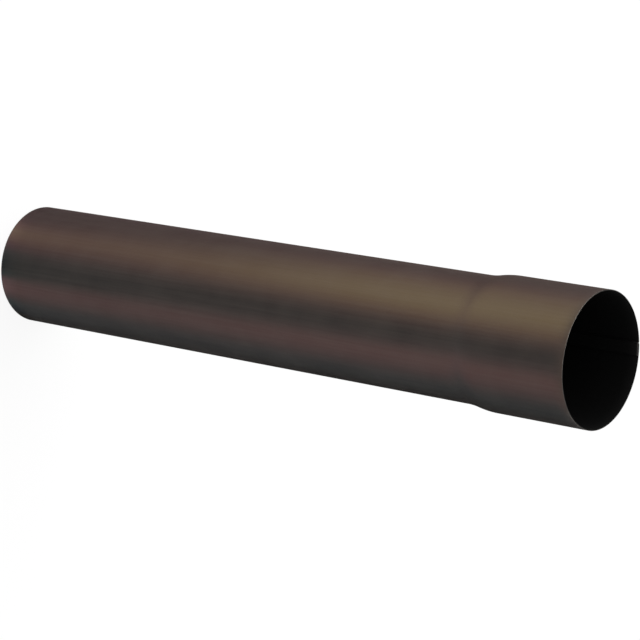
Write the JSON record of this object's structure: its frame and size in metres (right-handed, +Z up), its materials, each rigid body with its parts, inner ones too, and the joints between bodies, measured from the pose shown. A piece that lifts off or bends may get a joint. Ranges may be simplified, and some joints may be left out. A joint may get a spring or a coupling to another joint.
{
  "type": "downpipe",
  "caption": "Round sheet-steel downpipe with a plain end, a swaged socket at the other end and a folded lock seam inside.",
  "frame": {"origin": "centre of the plain end's rim, on the floor the pipe stands on", "axes": "+Z up along the pipe's axis, from the plain end to the socket's mouth; +Y to the side that has the seam"},
  "size_m": [0.092, 0.092, 0.5],
  "materials": {
    "coated_steel": "satin dark brown polyester coil coating"
  },
  "bodies": {
    "root": {"pipe": "coated_steel"}
  },
  "joints": []
}
